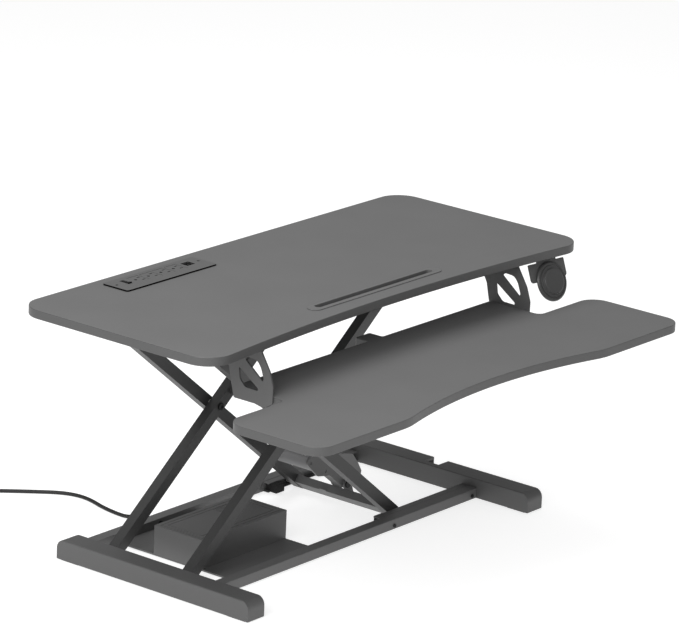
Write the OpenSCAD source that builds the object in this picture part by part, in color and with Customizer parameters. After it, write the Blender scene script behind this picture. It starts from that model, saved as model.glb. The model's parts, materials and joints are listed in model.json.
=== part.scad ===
// Electric standing desk converter: a worktop and a keyboard tray on a double scissor lift.
// X runs along the worktop, +Y points to its rear edge, +Z up, z = 0 is the desk it stands on.

/* [Worktop] */
// Width of the worktop
top_w = 950; // [940:1:980]
// Depth of the worktop
top_d = 400; // [396:1:410]
// Thickness of the worktop and of the keyboard tray
board_t = 15; // [13:1:16]
// Height of the worktop's upper face in the modelled raised pose
top_z = 447; // [445:1:450]
// Corner radius of the worktop
top_corner = 44; // [20:1:60]
// How far the middle of the worktop's front edge curves back
top_bow = 24; // [5:1:30]

/* [Keyboard tray] */
// Width of the keyboard tray
tray_w = 936; // [900:2:936]
// Distance from the worktop's centre line to the tray's front edge
tray_front = 413.5; // [400:0.5:414]
// Depth of the tray's side wings
wing_d = 187.5; // [170:0.5:190]
// Width of the tongue between the tray brackets
tongue_w = 650; // [640:2:650]
// Height of the tray's upper face
tray_z = 356; // [352:1:360]
// Corner radius of the tray
tray_corner = 33; // [20:1:40]

/* [Base] */
// Length of each foot
foot_l = 404; // [396:1:410]
// Width of each foot
foot_w = 40; // [36:1:44]
// Height of each foot
foot_h = 35; // [32:1:36]
// Distance from the middle of the base to each foot's inner wall
foot_x = 339; // [339:1:345]
// Wall of the pressed steel feet
foot_wall = 2.5; // [1.5:0.1:3]

/* [Scissor lift] */
// Angle of the arms to the desk in the modelled pose
phi = 38.6; // [38.4:0.1:38.8]
// Distance between the end pivots of an arm
arm_l = 633.1; // [632:0.1:634]
// Width of an arm along Y
arm_w = 18; // [16:1:18]
// Height of an arm across its length
arm_h = 20; // [18:1:20]
// Wall of the arm tubes
arm_wall = 2; // [1.5:0.1:3]
// Radius of the pivot pins
pin_r = 4; // [3:0.1:4]
// Radius of the nylon rollers
roller_r = 6.4; // [6:0.1:6.4]

/* [Drive] */
// Distance along arm B from the cross bolt to the drive's lower pin
ram_b = 290; // [285:1:292]
// Distance along arm A from the cross bolt to the drive's upper tube
ram_a = 42; // [40:1:46]
// Radius of the drive's outer tube
ram_tube_r = 17; // [16.8:0.1:17.5]
// Radius of the drive's rod
ram_rod_r = 10; // [9:0.1:10]

/* [Power cord] */
// Diameter of the power cord
cord_d = 6.5; // [5:0.5:7]

/* [Hidden] */
$fn = 64;

eps = 0.01;
run_gap = 0.05;
free_gap = 0.4;

total_d = tray_front + top_d / 2;
desk_y = total_d / 2 - top_d / 2;
frame_y = desk_y + 41;
board_z = top_z - board_t;

// Half spans of the frame from its mid plane, along Y
a_in = 69.5;
a_out = a_in + arm_w;
b_in = a_out + 2;
b_out = b_in + arm_w;
track_in = 113;
track_out = 126;
rail_out = 146;

// Heights of the end pivots and the cross bolt, from the desk
pivot_low = 11.5;
pivot_high = pivot_low + arm_l * sin(phi);
cross_x = -80.5;
cross_z = (pivot_low + pivot_high) / 2;
pivot_x = cross_x - arm_l / 2 * cos(phi);
roller_x = cross_x + arm_l / 2 * cos(phi);

// The drive's two pin centres, and its angle to the desk
lift_b = 14;
ram_low = [cross_x + ram_b * cos(phi) + lift_b * sin(phi), cross_z - ram_b * sin(phi) + lift_b * cos(phi)];
ram_high = [cross_x + ram_a * cos(phi), cross_z + ram_a * sin(phi)];
ram_angle = atan2(ram_high[1] - ram_low[1], ram_high[0] - ram_low[0]);
ram_l = norm(ram_high - ram_low);

// Tracks: a C section with a slot for the rollers
track_wall = 1.4;
track_slot = 2 * (roller_r + free_gap);
track_h = track_slot + 2 * track_wall;
roller_w = 10;
axle_r = 3;

// Base rails
rail_z = 2;
rail_h = 18;
rail_wall = 1.5;

// Feet
foot_z = 1.5;
foot_front = -253;
foot_end_r = 15;
foot_edge_r = 2;

// Power box on the base plate
box_x = [-259, -50];
box_y = [-53.5, 49];
box_z = [5, 52];
box_wall = 1.5;
lid_t = 2;
plate_x = [-258, -50];
plate_t = 3;

// Tray outline
wing_y = tray_front - wing_d;
tongue_y = 122;
recess_r = 930;
recess_depth = 34.2;
recess_blend = 120;

// Power cord: where it leaves the rear rail, and its route across the desk
cord_x = -156;
cord_z = 10;
cord_low = cord_d / 2;
gland_l = 24;
cord_start = rail_out + frame_y + gland_l;
cord_route = [
    [cord_x, cord_start - gland_l, cord_z],
    [cord_x, cord_start - 12, cord_z],
    [cord_x, cord_start, cord_z],
    [cord_x, cord_start + 6, 9.6],
    [cord_x, cord_start + 14, 8],
    [cord_x, cord_start + 24, 5.3],
    [cord_x, cord_start + 34, 3.7],
    [-155.6, cord_start + 44, cord_low],
    [-154, cord_start + 62, cord_low],
    [-151, cord_start + 80, cord_low],
    [-147, cord_start + 97, cord_low],
    [-142, cord_start + 113, cord_low],
    [-138.5, cord_start + 127, cord_low],
    [-136.5, cord_start + 141, cord_low],
    [-137, cord_start + 157, cord_low],
    [-142, cord_start + 175, cord_low],
    [-152, cord_start + 193, cord_low],
    [-165.5, cord_start + 210, cord_low],
    [-180, cord_start + 227, cord_low],
    [-195, cord_start + 244, cord_low],
    [-211, cord_start + 261.5, cord_low],
    [-230, cord_start + 282.7, cord_low],
    [-249, cord_start + 304, cord_low]
];
// The unused length lies in a round coil, three turns wide and two high
coil_at = [-280.6, cord_start + 276];
coil_turns_wide = 3;
coil_mid_r = 5.5 * cord_d;
coil_out_r = coil_mid_r + coil_turns_wide / 2 * cord_d;
coil_in_r = coil_mid_r - coil_turns_wide / 2 * cord_d;
coil_h = 2 * cord_d;
plug_gap = 14;
plug_at = [coil_at[0] - plug_gap, coil_at[1] + coil_out_r - cord_d / 2];

module at_desk() { translate([0, desk_y, 0]) children(); }
module at_frame() { translate([0, frame_y, 0]) children(); }
module both_sides() {
    at_frame() {
        children();
        mirror([0, 1, 0]) children();
    }
}
module on_a() { translate([cross_x, frame_y, cross_z]) rotate([0, -phi, 0]) children(); }
module on_b() { translate([cross_x, frame_y, cross_z]) rotate([0, phi, 0]) children(); }
module on_ram() { translate([ram_low[0], frame_y, ram_low[1]]) rotate([0, -ram_angle, 0]) children(); }

// A box from its lowest to its highest corner
module block(lo, hi) { translate(lo) cube(hi - lo); }
// A cylinder along +Y from y = y0, length h
module rod_y(r, y0, h) { translate([0, y0 + h, 0]) rotate([90, 0, 0]) cylinder(r = r, h = h); }
// A cylinder along +X from x = x0, length h
module rod_x(r, x0, h) { translate([x0, 0, 0]) rotate([0, 90, 0]) cylinder(r = r, h = h); }
module ring(r_out, r_in, h) {
    difference() {
        cylinder(r = r_out, h = h);
        translate([0, 0, -1]) cylinder(r = r_in, h = h + 2);
    }
}
// A profile drawn as [y, z], extruded along X from x0 over w
module profile_yz(x0, w) { translate([x0, 0, 0]) rotate([90, 0, 90]) linear_extrude(w) children(); }
// A profile drawn as [x, z], extruded along Y from y0 over w
module profile_xz(y0, w) { translate([0, y0 + w, 0]) rotate([90, 0, 0]) linear_extrude(w) children(); }

// Corner rounding: each point is [x, y, radius]
function unit(v) = v / norm(v);
function flat_pt(p) = [p[0], p[1]];
arc_error = 0.04;
function arc_between(c, r, a0, a1) =
    let (
        d = ((a1 - a0 + 540) % 360) - 180,
        n = max(2, ceil(abs(d) / (2 * acos(1 - arc_error / r))))
    )
    [for (i = [0 : n]) c + r * [cos(a0 + d * i / n), sin(a0 + d * i / n)]];
function corner(a, v, b) =
    let (
        p = flat_pt(v),
        u = unit(flat_pt(a) - p),
        w = unit(flat_pt(b) - p),
        half = acos(u * w) / 2,
        m = unit(u + w),
        c = p + m * v[2] / sin(half),
        t = v[2] / tan(half),
        s = p + u * t - c,
        e = p + w * t - c
    )
    v[2] == 0 ? [p] : arc_between(c, v[2], atan2(s[1], s[0]), atan2(e[1], e[0]));
function rounded(pts) = [
    for (i = [0 : len(pts) - 1])
        each corner(pts[(i + len(pts) - 1) % len(pts)], pts[i], pts[(i + 1) % len(pts)])
];
module plate(w, d, r) {
    polygon(rounded([[-w / 2, -d / 2, r], [w / 2, -d / 2, r], [w / 2, d / 2, r], [-w / 2, d / 2, r]]));
}
module pill(w, d) {
    square([w - d, d], center = true);
    for (s = [-1, 1]) translate([s * (w - d) / 2, 0]) circle(d / 2);
}

// ---------- base ----------

// A foot's side outline, [y, z], set in by t all round its closed sides
module foot_side(t) {
    r = foot_end_r - t;
    y0 = foot_front + t;
    y1 = foot_front + foot_l - t;
    z1 = foot_h - t;
    translate([y0 + r, z1 - r]) circle(r);
    translate([y1 - r, z1 - r]) circle(r);
    translate([y0 + r, foot_z]) square([y1 - y0 - 2 * r, z1 - foot_z]);
    translate([y0, foot_z]) square([y1 - y0, z1 - r - foot_z]);
}
// A foot's end outline, [x, z]
module foot_end(t) {
    r = max(foot_edge_r - t, 0.5);
    translate([t, foot_z]) square([foot_w - 2 * t, foot_h - t - r - foot_z]);
    translate([t + r, foot_z]) square([foot_w - 2 * t - 2 * r, foot_h - t - foot_z]);
    for (x = [t + r, foot_w - t - r]) translate([x, foot_h - t - r]) circle(r);
}
module foot_solid(t, low) {
    intersection() {
        profile_yz(0, foot_w) foot_side(t);
        profile_xz(foot_front - 1, foot_l + 2) foot_end(t);
        translate([-1, foot_front - 1, low]) cube([foot_w + 2, foot_l + 2, foot_h + 2]);
    }
}
module foot() {
    difference() {
        foot_solid(0, foot_z);
        translate([0, 0, -foot_wall]) foot_solid(foot_wall, foot_z);
        block([foot_wall, foot_front + foot_wall, 0],
              [foot_w - foot_wall, foot_front + foot_l - foot_wall, 6]);
    }
}
module left_foot() {
    color("#4a4a4c") at_frame() translate([-foot_x, 0, 0]) mirror([1, 0, 0]) foot();
}
module right_foot() {
    notch_x = 12;
    color("#4a4a4c") at_frame() translate([foot_x, 0, 0]) difference() {
        foot();
        block([notch_x, -53, 22], [foot_w + 1, -22, foot_h + 1]);
    }
}
module foot_pads() {
    pad_l = 36;
    color("#1c1c1d") at_frame() for (s = [-1, 1], y = [foot_front + 8, foot_front + foot_l - 8 - pad_l])
        block([min(s * (foot_x + foot_wall), s * (foot_x + foot_w - foot_wall)), y, 0],
              [max(s * (foot_x + foot_wall), s * (foot_x + foot_w - foot_wall)), y + pad_l, 9]);
}

module rail() {
    difference() {
        block([-foot_x, track_out, rail_z], [foot_x, rail_out, rail_z + rail_h]);
        block([-foot_x - 1, track_out + rail_wall, rail_z + rail_wall],
              [foot_x + 1, rail_out - rail_wall, rail_z + rail_h - rail_wall]);
    }
}
module front_rail() { color("#454547") at_frame() mirror([0, 1, 0]) rail(); }
module rear_rail() {
    color("#454547") at_frame() difference() {
        rail();
        translate([cord_x, 0, cord_z]) rod_y(5.5, track_out - 1, rail_out - track_out + 2);
    }
}

// C section, open towards the middle of the frame
module track_profile(riser) {
    difference() {
        translate([track_in, -track_h / 2]) square([track_out - track_in, track_h + riser]);
        translate([track_in - 1, -track_slot / 2])
            square([track_out - track_in - track_wall + 1, track_slot]);
        if (riser > 0)
            translate([track_in - 1, track_h / 2])
                square([track_out - track_in - track_wall * 2 + 1, riser - track_wall]);
    }
}
module track(x0, x1, z, riser) {
    translate([0, 0, z]) profile_yz(x0, x1 - x0) track_profile(riser);
}
base_track_x = [102, foot_x];
module front_base_track() {
    color("#3c3c3e") at_frame() mirror([0, 1, 0]) track(base_track_x[0], base_track_x[1], pivot_low, 0);
}
module rear_base_track() {
    color("#3c3c3e") at_frame() track(base_track_x[0], base_track_x[1], pivot_low, 0);
}
module track_stops() {
    stop_x = [base_track_x[0] + 7, base_track_x[0] + 28];
    color("#161617") both_sides()
        block([stop_x[0], track_in - 4, pivot_low - track_slot / 2],
              [stop_x[1], track_out - track_wall, pivot_low + track_slot / 2]);
    color("#161617") at_frame()
        block([stop_x[0], track_in - 12, 3], [stop_x[1], track_in, 17.5]);
}

module base_plate() {
    color("#434345") at_frame()
        block([plate_x[0], -track_out, rail_z], [plate_x[1], track_out, rail_z + plate_t]);
}

// Two ears on the foot's inner wall hold each arm A end
ear_t = 3;
module base_pivot_brackets() {
    ear_h = 26;
    color("#3c3c3e") both_sides() for (y = [a_in - free_gap - ear_t, a_out + free_gap])
        difference() {
            profile_xz(y, ear_t) difference() {
                polygon(rounded([[-foot_x, rail_z, 0], [pivot_x + 12, rail_z, 6],
                                 [pivot_x + 12, pivot_low + 5, 8], [-foot_x, ear_h + 2, 0]]));
            }
            translate([pivot_x, 0, pivot_low]) rod_y(pin_r, y - 1, ear_t + 2);
        }
}
module base_pivot_pins() {
    y0 = a_in - free_gap - ear_t;
    color("#8a8a8c") both_sides() translate([pivot_x, 0, pivot_low]) {
        rod_y(pin_r, y0, a_out - a_in + 2 * (free_gap + ear_t));
        rod_y(6.5, y0 - 2.5, 2.5);
        rod_y(6.5, a_out + free_gap + ear_t, 2.5);
    }
}
module rail_screws() {
    color("#2a2a2b") both_sides() for (x = [118, 326]) translate([x, 0, 8.5]) difference() {
        rod_y(3.2, rail_out, 1.8);
        translate([0, rail_out + 2.2, 0]) rotate([90, 0, 0]) cylinder(r = 1.7, h = 1.3, $fn = 6);
    }
}

module power_box() {
    color("#3a3a3c") at_frame() difference() {
        block([box_x[0], box_y[0], box_z[0]], [box_x[1], box_y[1], box_z[1]]);
        block([box_x[0] + box_wall, box_y[0] + box_wall, box_z[0] + box_wall],
              [box_x[1] - box_wall, box_y[1] - box_wall, box_z[1] + 1]);
        translate([cord_x, 0, cord_z]) rod_y(4.5, box_y[1] - 5, 10);
        // Vents in the rear wall
        for (i = [0 : 8]) block([-120 + i * 7, box_y[1] - 5, 22], [-117 + i * 7, box_y[1] + 5, 40]);
    }
}
module power_box_lid() {
    groove = 1;
    hatch = [70, 22];
    cx = (box_x[0] + box_x[1]) / 2;
    cy = (box_y[0] + box_y[1]) / 2;
    w = box_x[1] - box_x[0];
    d = box_y[1] - box_y[0];
    color("#484849") at_frame() difference() {
        block([box_x[0], box_y[0], box_z[1]], [box_x[1], box_y[1], box_z[1] + lid_t]);
        for (inset = [14, 30]) translate([cx, cy, box_z[1] + lid_t - groove]) linear_extrude(groove + 1)
            difference() {
                square([w - inset, d - inset], center = true);
                square([w - inset - 2.4, d - inset - 2.4], center = true);
            }
        for (i = [0 : 9])
            translate([cx + 40 + i * 4 - 20, cy + 14, box_z[1] - 1]) cube([1.8, hatch[1], lid_t + 2]);
    }
}
module power_supply() {
    floor_z = box_z[0] + box_wall;
    color("#2d5a3a") at_frame() {
        block([-250, -46, floor_z + 4], [-60, 40, floor_z + 5.6]);
        for (x = [-244, -66], y = [-40, 34]) block([x - 3, y - 3, floor_z], [x + 3, y + 3, floor_z + 4]);
        block([-236, -36, floor_z + 5.6], [-186, 8, floor_z + 38]);
        block([-130, -34, floor_z + 5.6], [-124, 22, floor_z + 32]);
        block([-112, -34, floor_z + 5.6], [-106, 22, floor_z + 32]);
        for (x = [-168, -148]) translate([x, -20, floor_z + 5.6]) cylinder(r = 8, h = 26);
        for (x = [-90, -78]) translate([x, 0, floor_z + 5.6]) cylinder(r = 4, h = 14);
    }
}
module inner_lead() {
    color("#1a1a1b") at_frame() translate([cord_x, 0, cord_z])
        rod_y(cord_d / 2, box_y[1] - box_wall, rail_out - box_y[1] + box_wall);
}
module cord_gland() {
    color("#171718") at_frame() translate([cord_x, rail_out - 2, cord_z]) rotate([-90, 0, 0]) {
        ring(5.4, cord_d / 2, 2);
        translate([0, 0, 2]) ring(7.5, cord_d / 2, 3);
        translate([0, 0, 5]) difference() {
            cylinder(r1 = 5.6, r2 = 4.3, h = gland_l - 3);
            translate([0, 0, -1]) cylinder(r = cord_d / 2, h = gland_l);
        }
    }
}

// The cord: one tube swept along cord_route, then a round coil on the desk and the plug beside it
cord_sides = 10;
module tube_along(path, r) {
    n = len(path);
    rings = [
        for (i = [0 : n - 1])
            let (
                dir = unit(path[min(i + 1, n - 1)] - path[max(i - 1, 0)]),
                side = unit(cross(dir, [0, 0, 1])),
                up = cross(side, dir)
            )
            for (k = [0 : cord_sides - 1])
                path[i] + r * (cos(360 * k / cord_sides) * side + sin(360 * k / cord_sides) * up)
    ];
    faces = concat(
        [[for (k = [0 : cord_sides - 1]) k]],
        [
            for (i = [0 : n - 2], k = [0 : cord_sides - 1])
                let (a = i * cord_sides + k, b = i * cord_sides + (k + 1) % cord_sides)
                [a, a + cord_sides, b + cord_sides, b]
        ],
        [[for (k = [cord_sides - 1 : -1 : 0]) (n - 1) * cord_sides + k]]
    );
    polyhedron(points = rings, faces = faces, convexity = 6);
}
module power_cord() { color("#161617") tube_along(cord_route, cord_d / 2); }
module cord_coil() {
    color("#161617") translate([coil_at[0], coil_at[1], 0]) ring(coil_out_r, coil_in_r, coil_h);
}
module cord_tie() {
    tie_w = 8;
    tie_t = 1.2;
    y1 = -coil_in_r + tie_t;
    y0 = -coil_out_r - tie_t;
    color("#222224") translate([coil_at[0], coil_at[1], 0]) difference() {
        block([-tie_w / 2, y0, 0], [tie_w / 2, y1, coil_h + tie_t]);
        ring(coil_out_r, coil_in_r, coil_h);
    }
}
module cord_plug() {
    plug_l = 38;
    plug_w = 26;
    plug_t = 20;
    relief_l = 25;
    mid_z = plug_t / 2;
    color("#171718") translate([plug_at[0], plug_at[1], 0]) {
        translate([0, 0, mid_z]) rotate([0, -90, 0]) cylinder(r1 = 4.2, r2 = 6.5, h = relief_l);
        translate([0, 0, mid_z]) rod_x(cord_d / 2, -1, plug_gap + 1);
        translate([-relief_l - plug_l, -plug_w / 2, 0]) translate([0, plug_w, 0]) rotate([90, 0, 0])
            linear_extrude(plug_w)
                polygon(rounded([[0, 0, 3], [plug_l, 0, 6], [plug_l, plug_t, 6], [0, plug_t, 3]]));
    }
    color("#b9a36a") translate([plug_at[0] - relief_l - plug_l, plug_at[1], mid_z]) {
        for (y = [-6.35, 6.35]) block([-18, y - 0.75, -0.2], [0, y + 0.75, 6.2]);
        translate([0, 0, -5.5]) rod_x(2.4, -20, 20);
    }
}

// ---------- scissor arms ----------

// One arm in its own frame: x along the arm from the cross bolt, tube across y = y0 .. y0 + arm_w
module arm(y0, r_low, r_mid, r_high) {
    holes = [[-arm_l / 2, r_low], [0, r_mid], [arm_l / 2, r_high]];
    sleeve_r = 7;
    difference() {
        union() {
            difference() {
                profile_xz(y0, arm_w) pill(arm_l + arm_h, arm_h);
                block([-arm_l, y0 + arm_wall, arm_wall - arm_h / 2],
                      [arm_l, y0 + arm_w - arm_wall, arm_h / 2 - arm_wall]);
            }
            for (h = holes) translate([h[0], 0, 0]) rod_y(sleeve_r, y0 + eps, arm_w - 2 * eps);
        }
        for (h = holes) translate([h[0], 0, 0]) rod_y(h[1], y0 - 1, arm_w + 2);
    }
}
module rear_arm_a() { color("#38383a") on_a() arm(a_in, pin_r + run_gap, pin_r, axle_r); }
module front_arm_a() { color("#38383a") on_a() mirror([0, 1, 0]) arm(a_in, pin_r + run_gap, pin_r, axle_r); }
module rear_arm_b() { color("#404042") on_b() arm(b_in, pin_r + run_gap, pin_r + run_gap, axle_r); }
module front_arm_b() {
    color("#404042") on_b() mirror([0, 1, 0]) arm(b_in, pin_r + run_gap, pin_r + run_gap, axle_r);
}

module cross_tube(half, r, wall) {
    difference() {
        rod_y(r, -half, 2 * half);
        rod_y(r - wall, -half - 1, 2 * half + 2);
    }
}
module ram_cross_tube() { color("#3a3a3c") on_a() translate([ram_a, 0, 0]) cross_tube(a_in, 10, 2); }
module upper_tube_a() { color("#3a3a3c") on_a() translate([285, 0, 0]) cross_tube(a_in, 9, 1.5); }
module upper_tube_b() { color("#3e3e40") on_b() translate([-285, 0, 0]) cross_tube(b_in, 9, 1.5); }

// Axle, collar and end washer of one roller, from the arm's inner face outwards
module roller_axle(y_arm) {
    roller_y = track_in + 0.6;
    rod_y(axle_r, y_arm, track_out - track_wall - 0.3 - y_arm);
    rod_y(5.5, y_arm - 2, 2);
    rod_y(4.5, roller_y - 2.3, 2);
}
module top_roller_axles() {
    color("#8c8c8e") on_a() for (s = [0, 1]) mirror([0, s, 0])
        translate([arm_l / 2, 0, 0]) roller_axle(a_in);
}
module base_roller_axles() {
    color("#8c8c8e") on_b() for (s = [0, 1]) mirror([0, s, 0])
        translate([arm_l / 2, 0, 0]) roller_axle(b_in);
}
module roller(x, z, side) {
    roller_y = track_in + 0.6;
    translate([x, frame_y, z]) mirror([0, side < 0 ? 1 : 0, 0]) difference() {
        rod_y(roller_r, roller_y, roller_w);
        rod_y(axle_r + run_gap, roller_y - 1, roller_w + 2);
    }
}
module base_roller_front() { color("#d8d8d4") roller(roller_x, pivot_low, -1); }
module base_roller_rear() { color("#d8d8d4") roller(roller_x, pivot_low, 1); }
module top_roller_front() { color("#d8d8d4") roller(roller_x, pivot_high, -1); }
module top_roller_rear() { color("#d8d8d4") roller(roller_x, pivot_high, 1); }

module cross_bolts() {
    head_h = 3;
    color("#6f6f72") on_a() for (s = [0, 1]) mirror([0, s, 0]) {
        rod_y(pin_r, a_in, b_out - a_in);
        difference() {
            rod_y(6.5, a_in - head_h, head_h);
            translate([0, a_in - head_h + 1.8, 0]) rotate([90, 0, 0]) cylinder(r = 3.2, h = 2, $fn = 6);
        }
        difference() {
            translate([0, b_out + head_h, 0]) rotate([90, 0, 0]) cylinder(r = 7, h = head_h, $fn = 6);
            rod_y(pin_r, b_out - 1, 1);
        }
    }
}
module cross_washers() {
    washer_t = b_in - a_out - 2 * run_gap;
    color("#c9c9c4") on_a() for (s = [0, 1]) mirror([0, s, 0]) difference() {
        rod_y(9, a_out + run_gap, washer_t);
        rod_y(pin_r + run_gap, a_out - 1, washer_t + 2);
    }
}

// Flat bar between the lower ends of the arms B, with a small tab under it
bar_b = [292.5, 320.5];
bar_v = [-9, 5];
module lower_bar_b() {
    bar_wall = 2;
    axle_clear = 6;
    color("#434345") on_b() difference() {
        union() {
            difference() {
                block([bar_b[0], -b_in, bar_v[0]], [bar_b[1], b_in, bar_v[1]]);
                block([bar_b[0] + bar_wall, -b_in - 1, bar_v[0] + bar_wall],
                      [bar_b[1] - bar_wall, b_in + 1, bar_v[1] - bar_wall]);
            }
            block([bar_b[0] - 5, 20, bar_v[0]], [bar_b[0], 34, bar_v[0] + 2]);
        }
        for (s = [-1, 1]) translate([arm_l / 2, 0, 0])
            rod_y(axle_clear, s * b_in - (s > 0 ? 3 : 0), 3);
    }
}
ear_gap = 10.5;
clevis_t = 4;
eye_r = 8.5;
module clevis_bracket() {
    color("#4a4a4c") on_b() for (s = [0, 1]) mirror([0, s, 0]) difference() {
        profile_xz(ear_gap, clevis_t) {
            translate([ram_b, lift_b]) circle(eye_r + 0.5);
            polygon([[bar_b[0], bar_v[1]], [bar_b[1] - 3, bar_v[1]], [bar_b[1] - 6, bar_v[1] + 5],
                     [ram_b + 5, lift_b + 7.5], [ram_b - 5, lift_b - 7.5]]);
        }
        translate([ram_b, 0, lift_b]) rod_y(pin_r, ear_gap - 1, clevis_t + 2);
    }
}
module clevis_pin() {
    half = ear_gap + clevis_t;
    color("#8c8c8e") on_b() translate([ram_b, 0, lift_b]) {
        rod_y(pin_r, -half, 2 * half);
        rod_y(6.5, -half - 2.5, 2.5);
        rod_y(6.5, half, 2.5);
    }
}
module stop_gussets() {
    color("#4a4a4c") on_b() for (s = [0, 1]) mirror([0, s, 0]) profile_xz(b_out - 3, 3)
        polygon(rounded([[106, arm_h / 2, 0], [144, 27, 3], [169, 21, 2],
                         [184, 15.5, 2], [187, arm_h / 2, 0]]));
}

// ---------- drive ----------

// Local frame of the drive: x from the lower pin to the upper tube, z towards the motor's side
plate_back = -7.5;
plate_front = -11.5;
house_x = 121;
wheel_x = [86, 100];
wheel_r = 8.5;
chamber_gap = 1.5;
collar_r = 8.2;
can_at = [97, 8];
can_r = 23;
can_l = 72;
tube_end = 225;
tube_bore = 15.5;
module at_can() { translate([can_at[0], 0, can_at[1]]) children(); }
module wheel_chamber() {
    rod_x(wheel_r + 1, wheel_x[0] - chamber_gap, wheel_x[1] - wheel_x[0] + 2 * chamber_gap);
}
// The mounting plate in front of the gear case, the eye on the lower pin and the neck of the tube
module gearbox_housing() {
    eye_half = ear_gap - free_gap;
    color("#5a5a5c") on_ram() difference() {
        union() {
            rod_y(eye_r, -eye_half, 2 * eye_half);
            profile_xz(-eye_half, 2 * eye_half)
                polygon([[0, -eye_r], [34, -11], [70, -12], [70, 14], [34, 12], [0, eye_r]]);
            profile_xz(plate_front, plate_back - plate_front)
                polygon(rounded([[30, -10, 3], [50, -13, 4], [78, -20, 6], [118, -20, 5],
                                 [118, 31, 5], [76, 31, 6], [62, 22, 4], [50, 13.5, 4], [30, 11, 3]]));
            difference() {
                rod_x(ram_tube_r, house_x - 14, 14);
                block([0, -50, -50], [house_x, plate_front, 50]);
            }
        }
        rod_y(pin_r + run_gap, -eye_half - 1, 2 * eye_half + 2);
        at_can() rod_y(can_r, plate_back, can_l);
        wheel_chamber();
        rod_x(collar_r + 0.1, wheel_x[0], house_x - wheel_x[0] + 1);
        for (p = [[64, -8], [64, 14], [109, -14], [109, 25]])
            translate([p[0], 0, p[1]]) rod_y(2.6, plate_front - 1, 2.2);
    }
}
// Gear case and motor: one round can across the drive
module motor() {
    color("#a3a4a6") on_ram() difference() {
        at_can() {
            rod_y(can_r, plate_back, can_l);
            rod_y(can_r - 3, plate_back + can_l, 3);
            rod_y(8, plate_back + can_l + 3, 3);
        }
        wheel_chamber();
        rod_x(collar_r + 0.1, wheel_x[1], house_x - wheel_x[1]);
    }
}
module ram_tube() {
    color("#5d5d5f") on_ram() difference() {
        union() {
            rod_x(ram_tube_r, house_x, tube_end - house_x);
            rod_x(ram_tube_r + 2, tube_end - 10, 10);
            rod_x(ram_tube_r + 2, house_x, 6);
        }
        rod_x(tube_bore, house_x - 1, tube_end - house_x + 2);
    }
}
module lead_screw() {
    screw_r = 4;
    color("#b5b5b8") on_ram() {
        rod_x(screw_r, wheel_x[0], tube_end - wheel_x[0]);
        rod_x(wheel_r, wheel_x[0], wheel_x[1] - wheel_x[0]);
        rod_x(collar_r, wheel_x[1] + chamber_gap, 6);
    }
}
module ram_rod() {
    rod_l = 128;
    bore_l = 105;
    color("#c3c4c6") on_ram() translate([ram_l, 0, 0]) difference() {
        union() {
            rod_x(ram_rod_r, -rod_l, rod_l);
            rod_y(15, -14, 28);
        }
        rod_x(8.2, -rod_l - 1, bore_l + 1);
        rod_y(10 + run_gap, -20, 40);
    }
}

// ---------- worktop ----------

bow_r = 3860;
panel_x = [-301, -85];
panel_y = [124, 178];
panel_t = 2.7;
body_inset = [10, 6];
slot_rim = [326, 25];
slot_y = -136;
slot_size = [292, 12];
slot_deep = 10;

module worktop_outline() {
    hw = top_w / 2;
    hd = top_d / 2;
    r = top_corner;
    // The front edge is one long arc that meets the rounded corners smoothly
    turn = asin((hw - r) / (bow_r + r));
    mid_y = top_bow - hd + bow_r * (1 / cos(turn) - 1);
    front_y = mid_y - hw * tan(turn);
    polygon(rounded([[-hw, front_y, r], [0, mid_y, bow_r], [hw, front_y, r], [hw, hd, r], [-hw, hd, r]]));
}
module worktop_board() {
    color("#6b6b6c") at_desk() difference() {
        translate([0, 0, board_z]) linear_extrude(board_t) worktop_outline();
        block([panel_x[0] + body_inset[0], panel_y[0] + body_inset[1], board_z - 1],
              [panel_x[1] - body_inset[0], panel_y[1] - body_inset[1], top_z + 1]);
        translate([0, slot_y + 2, top_z - slot_deep - 2]) linear_extrude(board_t)
            pill(slot_size[0] + 3.2, slot_size[1] + 3.2);
    }
}
// A channel rail under the board, open downwards, from x0 to x1 and across y = -half .. half
module under_rail(x0, x1, half) {
    rail_t = 12;
    wall = 2;
    difference() {
        block([x0, -half, board_z - rail_t], [x1, half, board_z]);
        block([x0 + wall, -half - 1, board_z - rail_t - 1], [x1 - wall, half + 1, board_z - wall]);
    }
}
module top_cross_rails() {
    left_x = [pivot_x - 17, pivot_x + 17];
    ear_w = 20;
    color("#3c3c3e") at_frame() {
        under_rail(232, 258, track_in);
        difference() {
            union() {
                under_rail(left_x[0], left_x[1], 120);
                for (s = [0, 1], y = [b_in - free_gap - ear_t, b_out + free_gap]) mirror([0, s, 0])
                    profile_xz(y, ear_t) {
                        translate([pivot_x, pivot_high]) circle(ear_w / 2);
                        translate([pivot_x - ear_w / 2, pivot_high])
                            square([ear_w, board_z - 1 - pivot_high]);
                        translate([left_x[0] + 1, board_z - 11]) square([32, 10]);
                    }
            }
            for (s = [0, 1]) mirror([0, s, 0]) translate([pivot_x, 0, pivot_high])
                rod_y(pin_r, b_in - 10, b_out - b_in + 20);
        }
    }
}
module top_pivot_pins() {
    y0 = b_in - free_gap - ear_t;
    color("#8a8a8c") both_sides() translate([pivot_x, 0, pivot_high]) {
        rod_y(pin_r, y0, b_out - b_in + 2 * (free_gap + ear_t));
        rod_y(6.5, y0 - 2.5, 2.5);
        rod_y(6.5, b_out + free_gap + ear_t, 2.5);
    }
}
top_track_x = [140, 315];
module top_track() {
    track(top_track_x[0], top_track_x[1], pivot_high, board_z - pivot_high - track_h / 2);
}
module front_top_track() { color("#3c3c3e") at_frame() mirror([0, 1, 0]) top_track(); }
module rear_top_track() { color("#3c3c3e") at_frame() top_track(); }

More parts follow.
